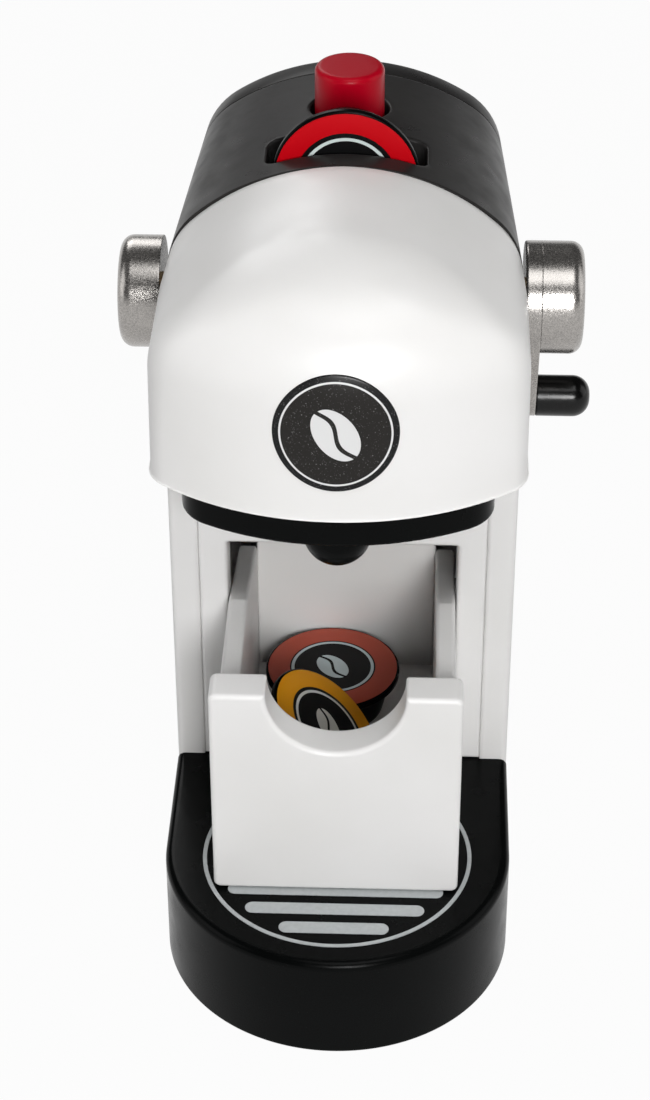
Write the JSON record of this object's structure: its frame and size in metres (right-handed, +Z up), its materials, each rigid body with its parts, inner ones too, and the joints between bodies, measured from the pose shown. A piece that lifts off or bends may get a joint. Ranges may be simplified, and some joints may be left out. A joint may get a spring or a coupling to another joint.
{
  "type": "toy coffee maker",
  "caption": "Wooden toy capsule coffee maker: black base, white tower with a sliding drawer, overhanging head with a side lever, a press button and a slot for capsules.",
  "frame": {"origin": "middle of the underside of the base, on the floor", "axes": "+Z up; -Y to the front, where the drawer and the spout are; +X to the right seen from the front, the lever's side"},
  "size_m": [0.1456, 0.207, 0.2526],
  "materials": {
    "white_lacquer": "satin",
    "black_lacquer": "satin",
    "silver_paint": "satin",
    "red_lacquer": "satin",
    "bare_wood": "matte",
    "steel": "satin",
    "grey_print": "matte",
    "black_print": "satin",
    "red_print": "matte",
    "brown_print": "matte",
    "amber_print": "matte"
  },
  "bodies": {
    "housing": {"base_block": "black_lacquer", "drip_tray_print": "grey_print", "side_panel_left": "white_lacquer", "side_panel_right": "white_lacquer", "front_frame": "white_lacquer", "tower_back": "white_lacquer", "drawer_rail_left": "bare_wood", "drawer_rail_right": "bare_wood", "head_front": "white_lacquer", "hood": "black_lacquer", "rear_cover": "black_lacquer", "head_plate": "black_lacquer", "spout": "black_lacquer", "badge": "black_print", "chute_front": "bare_wood", "chute_back": "bare_wood", "chute_left": "bare_wood", "chute_right": "bare_wood", "button_guide": "bare_wood", "cover_screws": "steel", "joint_dowels": "bare_wood"},
    "drawer": {"drawer_front": "white_lacquer", "drawer_wall_left": "white_lacquer", "drawer_wall_right": "white_lacquer", "drawer_back": "white_lacquer", "drawer_floor": "white_lacquer"},
    "lever": {"capsule_drum": "bare_wood", "drum_stub_left": "bare_wood", "drum_stub_right": "bare_wood", "knob_left": "silver_paint", "knob_right": "silver_paint", "lever_arm": "silver_paint", "lever_handle": "black_lacquer"},
    "button": {"button": "red_lacquer", "button_spring": "steel"},
    "capsule_red": {"capsule_red": "black_lacquer", "capsule_red_label": "red_print"},
    "capsule_brown": {"capsule_brown": "black_lacquer", "capsule_brown_label": "brown_print"},
    "capsule_amber": {"capsule_amber": "black_lacquer", "capsule_amber_label": "amber_print"}
  },
  "joints": [
    {"name": "drawer_slide", "type": "slide", "parent": "housing", "child": "drawer", "axis": [0, -1, 0], "range_m": [-0.0535, 0.03]},
    {"name": "lever_turn", "type": "hinge", "parent": "housing", "child": "lever", "pos_m": [0, 0.0333, 0.1878], "axis": [-1, 0, 0], "range_deg": [0, 90]},
    {"name": "button_press", "type": "slide", "parent": "housing", "child": "button", "axis": [0, 0, -1], "range_m": [0, 0.006], "stiffness_N_per_m": 400, "springref_m": -0.002, "deforming": ["button_spring"]},
    {"name": "capsule_red_lift", "type": "slide", "parent": "housing", "child": "capsule_red", "axis": [0, 0, 1], "range_m": [0, 0.05]},
    {"name": "capsule_brown_lift", "type": "slide", "parent": "drawer", "child": "capsule_brown", "axis": [0, 0, 1], "range_m": [0, 0.03]},
    {"name": "capsule_amber_lift", "type": "slide", "parent": "capsule_brown", "child": "capsule_amber", "axis": [0, 0, 1], "range_m": [0, 0.038]}
  ]
}
